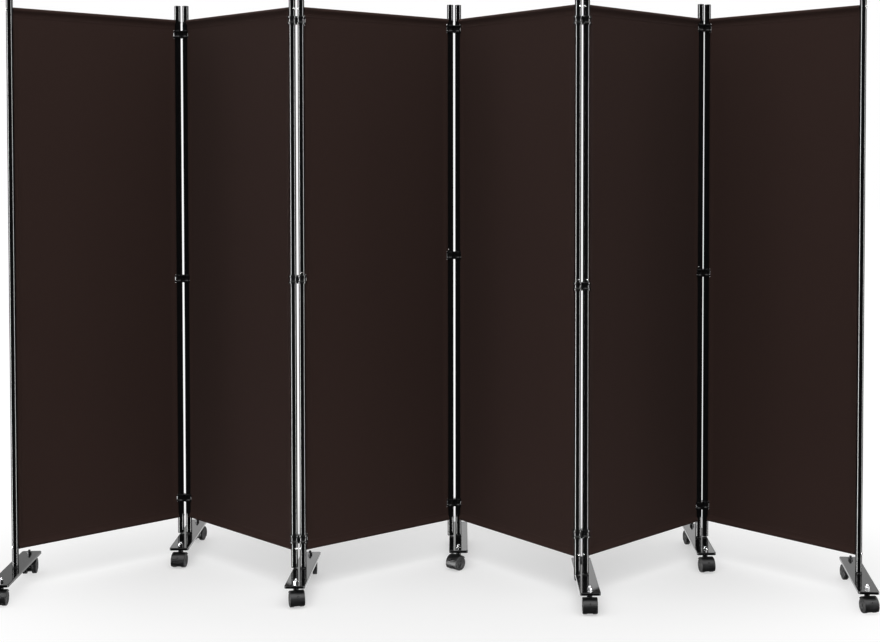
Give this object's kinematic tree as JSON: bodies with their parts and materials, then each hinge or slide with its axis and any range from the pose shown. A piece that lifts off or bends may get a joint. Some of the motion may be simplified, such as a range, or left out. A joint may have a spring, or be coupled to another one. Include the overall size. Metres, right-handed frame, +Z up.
{
  "type": "folding room divider",
  "caption": "Folding zigzag room divider: brown fabric panels between black steel posts, linked by double-ring hinge clips, on turning feet with swivel casters.",
  "frame": {"origin": "on the floor under the middle of the standing screen's bounding box", "axes": "+X along the screen to the right as seen from the front, +Y to the back, +Z up; the front is the side the picture shows"},
  "size_m": [2.6226, 0.7968, 1.803],
  "materials": {
    "black_steel": "gloss black powder coat on steel tube and sheet",
    "panel_fabric": "matt dark brown woven polyester",
    "clip_plastic": "semi-gloss black moulded plastic",
    "caster_plastic": "satin black moulded plastic",
    "wheel_plastic": "satin black moulded plastic"
  },
  "bodies": {
    "panel_1": {"panel_1_posts": "black_steel", "panel_1_rails": "black_steel", "panel_1_fabric": "panel_fabric"},
    "panel_2": {"panel_2_posts": "black_steel", "panel_2_rails": "black_steel", "panel_2_fabric": "panel_fabric"},
    "panel_3": {"panel_3_posts": "black_steel", "panel_3_rails": "black_steel", "panel_3_fabric": "panel_fabric"},
    "panel_4": {"panel_4_posts": "black_steel", "panel_4_rails": "black_steel", "panel_4_fabric": "panel_fabric"},
    "panel_5": {"panel_5_posts": "black_steel", "panel_5_rails": "black_steel", "panel_5_fabric": "panel_fabric"},
    "panel_6": {"panel_6_posts": "black_steel", "panel_6_rails": "black_steel", "panel_6_fabric": "panel_fabric"},
    "hinge_1": {"hinge_1_clips": "clip_plastic"},
    "hinge_2": {"hinge_2_clips": "clip_plastic"},
    "hinge_3": {"hinge_3_clips": "clip_plastic"},
    "hinge_4": {"hinge_4_clips": "clip_plastic"},
    "hinge_5": {"hinge_5_clips": "clip_plastic"},
    "foot_1": {"foot_1": "black_steel"},
    "foot_2": {"foot_2": "black_steel"},
    "foot_3": {"foot_3": "black_steel"},
    "foot_4": {"foot_4": "black_steel"},
    "foot_5": {"foot_5": "black_steel"},
    "foot_6": {"foot_6": "black_steel"},
    "foot_7": {"foot_7": "black_steel"},
    "caster_1_front": {"caster_1_front_body": "caster_plastic"},
    "wheels_1_front": {"caster_1_front_wheels": "wheel_plastic"},
    "caster_1_back": {"caster_1_back_body": "caster_plastic"},
    "wheels_1_back": {"caster_1_back_wheels": "wheel_plastic"},
    "caster_2_front": {"caster_2_front_body": "caster_plastic"},
    "wheels_2_front": {"caster_2_front_wheels": "wheel_plastic"},
    "caster_2_back": {"caster_2_back_body": "caster_plastic"},
    "wheels_2_back": {"caster_2_back_wheels": "wheel_plastic"},
    "caster_3_front": {"caster_3_front_body": "caster_plastic"},
    "wheels_3_front": {"caster_3_front_wheels": "wheel_plastic"},
    "caster_3_back": {"caster_3_back_body": "caster_plastic"},
    "wheels_3_back": {"caster_3_back_wheels": "wheel_plastic"},
    "caster_4_front": {"caster_4_front_body": "caster_plastic"},
    "wheels_4_front": {"caster_4_front_wheels": "wheel_plastic"},
    "caster_4_back": {"caster_4_back_body": "caster_plastic"},
    "wheels_4_back": {"caster_4_back_wheels": "wheel_plastic"},
    "caster_5_front": {"caster_5_front_body": "caster_plastic"},
    "wheels_5_front": {"caster_5_front_wheels": "wheel_plastic"},
    "caster_5_back": {"caster_5_back_body": "caster_plastic"},
    "wheels_5_back": {"caster_5_back_wheels": "wheel_plastic"},
    "caster_6_front": {"caster_6_front_body": "caster_plastic"},
    "wheels_6_front": {"caster_6_front_wheels": "wheel_plastic"},
    "caster_6_back": {"caster_6_back_body": "caster_plastic"},
    "wheels_6_back": {"caster_6_back_wheels": "wheel_plastic"},
    "caster_7_front": {"caster_7_front_body": "caster_plastic"},
    "wheels_7_front": {"caster_7_front_wheels": "wheel_plastic"},
    "caster_7_back": {"caster_7_back_body": "caster_plastic"},
    "wheels_7_back": {"caster_7_back_wheels": "wheel_plastic"}
  },
  "joints": [
    {"name": "hinge_1_right_fold", "type": "hinge", "parent": "panel_2", "child": "hinge_1", "pos_m": [-0.83114, 0.21859, 0.91066], "axis": [0, 0, 1], "range_deg": [-131, 41]},
    {"name": "hinge_1_left_fold", "type": "hinge", "parent": "hinge_1", "child": "panel_1", "pos_m": [-0.85713, 0.21768, 0.91066], "axis": [0, 0, 1], "range_deg": [-125.5, 46.5]},
    {"name": "hinge_2_right_fold", "type": "hinge", "parent": "panel_3", "child": "hinge_2", "pos_m": [-0.39926, -0.15901, 0.94179], "axis": [0, 0, -1], "range_deg": [-122.5, 49.5]},
    {"name": "hinge_2_left_fold", "type": "hinge", "parent": "hinge_2", "child": "panel_2", "pos_m": [-0.42524, -0.15992, 0.94179], "axis": [0, 0, -1], "range_deg": [-131, 41]},
    {"name": "hinge_3_left_fold", "type": "hinge", "parent": "panel_3", "child": "hinge_3", "pos_m": [0.03509, 0.18648, 0.98928], "axis": [0, 0, -1], "range_deg": [-114.5, 57.5]},
    {"name": "hinge_3_right_fold", "type": "hinge", "parent": "hinge_3", "child": "panel_4", "pos_m": [0.0607, 0.191, 0.98928], "axis": [0, 0, -1], "range_deg": [-145, 27]},
    {"name": "hinge_4_left_fold", "type": "hinge", "parent": "panel_4", "child": "hinge_4", "pos_m": [0.42481, -0.22787, 0.92701], "axis": [0, 0, 1], "range_deg": [-150, 22]},
    {"name": "hinge_4_right_fold", "type": "hinge", "parent": "hinge_4", "child": "panel_5", "pos_m": [0.44992, -0.22114, 0.92701], "axis": [0, 0, 1], "range_deg": [-115.5, 56.5]},
    {"name": "hinge_5_left_fold", "type": "hinge", "parent": "panel_5", "child": "hinge_5", "pos_m": [0.84578, 0.16787, 0.93362], "axis": [0, 0, -1], "range_deg": [-108.5, 63.5]},
    {"name": "hinge_5_right_fold", "type": "hinge", "parent": "hinge_5", "child": "panel_6", "pos_m": [0.86988, 0.17761, 0.93362], "axis": [0, 0, -1], "range_deg": [-152.5, 19.5]},
    {"name": "foot_1_turn", "type": "hinge", "parent": "panel_1", "child": "foot_1", "pos_m": [-1.2728, -0.15007, 0.066], "axis": [0, 0, -1], "range_deg": [-124.5, 47.5]},
    {"name": "foot_2_turn", "type": "hinge", "parent": "panel_2", "child": "foot_2", "pos_m": [-0.83114, 0.21859, 0.066], "axis": [0, 0, 1], "range_deg": [-131, 41]},
    {"name": "foot_3_turn", "type": "hinge", "parent": "panel_3", "child": "foot_3", "pos_m": [-0.39926, -0.15901, 0.066], "axis": [0, 0, -1], "range_deg": [-125, 47]},
    {"name": "foot_4_turn", "type": "hinge", "parent": "panel_4", "child": "foot_4", "pos_m": [0.0607, 0.191, 0.066], "axis": [0, 0, 1], "range_deg": [-136.5, 35.5]},
    {"name": "foot_5_turn", "type": "hinge", "parent": "panel_5", "child": "foot_5", "pos_m": [0.44992, -0.22114, 0.066], "axis": [0, 0, -1], "range_deg": [-129.5, 42.5]},
    {"name": "foot_6_turn", "type": "hinge", "parent": "panel_5", "child": "foot_6", "pos_m": [0.84578, 0.16787, 0.066], "axis": [0, 0, -1], "range_deg": [-130.5, 41.5]},
    {"name": "foot_7_turn", "type": "hinge", "parent": "panel_6", "child": "foot_7", "pos_m": [1.26574, -0.2114, 0.066], "axis": [0, 0, 1], "range_deg": [-125, 47]},
    {"name": "caster_1_front_swivel", "type": "hinge", "parent": "foot_1", "child": "caster_1_front", "pos_m": [-1.26547, -0.28988, 0.06], "axis": [0, 0, 1], "continuous": true},
    {"name": "caster_1_back_swivel", "type": "hinge", "parent": "foot_1", "child": "caster_1_back", "pos_m": [-1.28012, -0.01027, 0.06], "axis": [0, 0, 1], "continuous": true},
    {"name": "caster_2_front_swivel", "type": "hinge", "parent": "foot_2", "child": "caster_2_front", "pos_m": [-0.82626, 0.07867, 0.06], "axis": [0, 0, 1], "continuous": true},
    {"name": "caster_2_back_swivel", "type": "hinge", "parent": "foot_2", "child": "caster_2_back", "pos_m": [-0.83603, 0.3585, 0.06], "axis": [0, 0, 1], "continuous": true},
    {"name": "caster_3_front_swivel", "type": "hinge", "parent": "foot_3", "child": "caster_3_front", "pos_m": [-0.40048, -0.29901, 0.06], "axis": [0, 0, 1], "continuous": true},
    {"name": "caster_3_back_swivel", "type": "hinge", "parent": "foot_3", "child": "caster_3_back", "pos_m": [-0.39803, -0.01902, 0.06], "axis": [0, 0, 1], "continuous": true},
    {"name": "caster_4_front_swivel", "type": "hinge", "parent": "foot_4", "child": "caster_4_front", "pos_m": [0.06436, 0.05104, 0.06], "axis": [0, 0, 1], "continuous": true},
    {"name": "caster_4_back_swivel", "type": "hinge", "parent": "foot_4", "child": "caster_4_back", "pos_m": [0.05703, 0.33095, 0.06], "axis": [0, 0, 1], "continuous": true},
    {"name": "caster_5_front_swivel", "type": "hinge", "parent": "foot_5", "child": "caster_5_front", "pos_m": [0.45237, -0.36112, 0.06], "axis": [0, 0, 1], "continuous": true},
    {"name": "caster_5_back_swivel", "type": "hinge", "parent": "foot_5", "child": "caster_5_back", "pos_m": [0.44748, -0.08116, 0.06], "axis": [0, 0, 1], "continuous": true},
    {"name": "caster_6_front_swivel", "type": "hinge", "parent": "foot_6", "child": "caster_6_front", "pos_m": [0.84578, 0.02787, 0.06], "axis": [0, 0, 1], "continuous": true},
    {"name": "caster_6_back_swivel", "type": "hinge", "parent": "foot_6", "child": "caster_6_back", "pos_m": [0.84578, 0.30787, 0.06], "axis": [0, 0, 1], "continuous": true},
    {"name": "caster_7_front_swivel", "type": "hinge", "parent": "foot_7", "child": "caster_7_front", "pos_m": [1.25232, -0.35075, 0.06], "axis": [0, 0, 1], "continuous": true},
    {"name": "caster_7_back_swivel", "type": "hinge", "parent": "foot_7", "child": "caster_7_back", "pos_m": [1.27916, -0.07204, 0.06], "axis": [0, 0, 1], "continuous": true},
    {"name": "caster_1_front_roll", "type": "hinge", "parent": "caster_1_front", "child": "wheels_1_front", "pos_m": [-1.26442, -0.30184, 0.022], "axis": [0.9962, 0.0872, 0], "continuous": true},
    {"name": "caster_1_back_roll", "type": "hinge", "parent": "caster_1_back", "child": "wheels_1_back", "pos_m": [-1.28221, 0.00155, 0.022], "axis": [-0.9848, -0.1736, 0], "continuous": true},
    {"name": "caster_2_front_roll", "type": "hinge", "parent": "caster_2_front", "child": "wheels_2_front", "pos_m": [-0.8273, 0.06672, 0.022], "axis": [0.9962, -0.0872, 0], "continuous": true},
    {"name": "caster_2_back_roll", "type": "hinge", "parent": "caster_2_back", "child": "wheels_2_back", "pos_m": [-0.83436, 0.37039, 0.022], "axis": [-0.9903, 0.1392, 0], "continuous": true},
    {"name": "caster_3_front_roll", "type": "hinge", "parent": "caster_3_front", "child": "wheels_3_front", "pos_m": [-0.39697, -0.31049, 0.022], "axis": [0.9563, 0.2924, 0], "continuous": true},
    {"name": "caster_3_back_roll", "type": "hinge", "parent": "caster_3_back", "child": "wheels_3_back", "pos_m": [-0.39929, -0.00709, 0.022], "axis": [-0.9945, -0.1045, 0], "continuous": true},
    {"name": "caster_4_front_roll", "type": "hinge", "parent": "caster_4_front", "child": "wheels_4_front", "pos_m": [0.05665, 0.04185, 0.022], "axis": [0.766, -0.6428, 0], "continuous": true},
    {"name": "caster_4_back_roll", "type": "hinge", "parent": "caster_4_back", "child": "wheels_4_back", "pos_m": [0.05808, 0.3429, 0.022], "axis": [-0.9962, 0.0872, 0], "continuous": true},
    {"name": "caster_5_front_roll", "type": "hinge", "parent": "caster_5_front", "child": "wheels_5_front", "pos_m": [0.45237, -0.37312, 0.022], "axis": [1, 0, 0], "continuous": true},
    {"name": "caster_5_back_roll", "type": "hinge", "parent": "caster_5_back", "child": "wheels_5_back", "pos_m": [0.44748, -0.06916, 0.022], "axis": [-1, 0, 0], "continuous": true},
    {"name": "caster_6_front_roll", "type": "hinge", "parent": "caster_6_front", "child": "wheels_6_front", "pos_m": [0.84827, 0.01613, 0.022], "axis": [0.9781, 0.2079, 0], "continuous": true},
    {"name": "caster_6_back_roll", "type": "hinge", "parent": "caster_6_back", "child": "wheels_6_back", "pos_m": [0.84411, 0.31975, 0.022], "axis": [-0.9903, -0.1392, 0], "continuous": true},
    {"name": "caster_7_front_roll", "type": "hinge", "parent": "caster_7_front", "child": "wheels_7_front", "pos_m": [1.2544, -0.36257, 0.022], "axis": [0.9848, 0.1736, 0], "continuous": true},
    {"name": "caster_7_back_roll", "type": "hinge", "parent": "caster_7_back", "child": "wheels_7_back", "pos_m": [1.27832, -0.06007, 0.022], "axis": [-0.9976, -0.0698, 0], "continuous": true}
  ]
}
